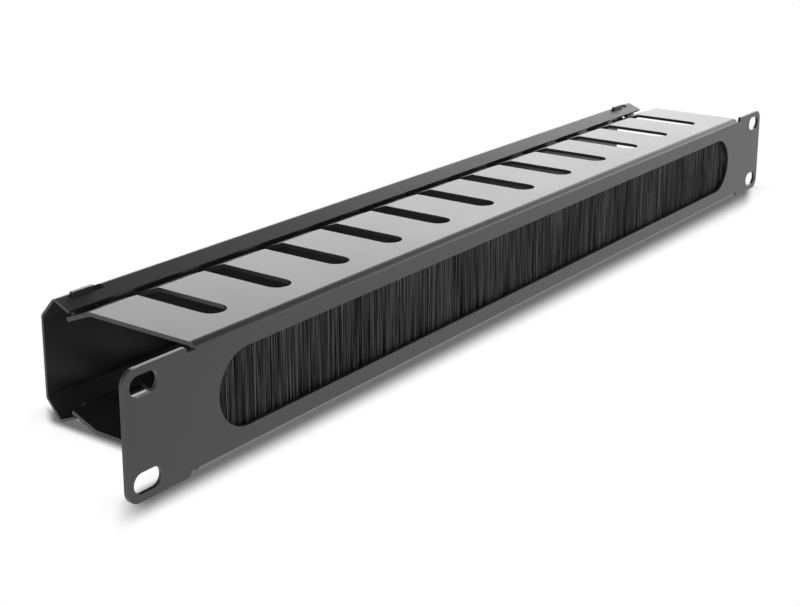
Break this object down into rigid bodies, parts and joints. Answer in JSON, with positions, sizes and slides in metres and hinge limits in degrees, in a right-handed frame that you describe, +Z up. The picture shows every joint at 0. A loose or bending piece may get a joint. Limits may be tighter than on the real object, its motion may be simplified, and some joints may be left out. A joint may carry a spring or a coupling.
{
  "type": "rack brush strip panel",
  "caption": "Folded steel rack panel of one unit with a long brush-lined cable opening, a slotted cable duct behind it and a rear cover that clips on",
  "frame": {"origin": "centre of the four rack holes on the front face of the panel", "axes": "X along the panel, to the right as seen from the front; Y to the rear, into the rack; Z up"},
  "size_m": [0.4826, 0.0732, 0.0461],
  "materials": {
    "panel_powder_coat": "satin black powder coat",
    "cover_powder_coat": "satin black powder coat",
    "bar_powder_coat": "satin black powder coat",
    "galvanised_channel": "galvanised strip, dull",
    "core_wire": "drawn steel wire",
    "nylon_bristle": "black nylon filament",
    "zinc_fixings": "bright zinc plate"
  },
  "bodies": {
    "root": {"front_panel": "panel_powder_coat", "rear_cover": "cover_powder_coat", "brush_channel": "galvanised_channel", "brush_wire": "core_wire", "brush_bristles": "nylon_bristle", "clamp_bar": "bar_powder_coat", "weld_stud_left": "zinc_fixings", "weld_stud_right": "zinc_fixings", "washer_left": "zinc_fixings", "washer_right": "zinc_fixings", "hex_nut_left": "zinc_fixings", "hex_nut_right": "zinc_fixings"}
  },
  "joints": []
}
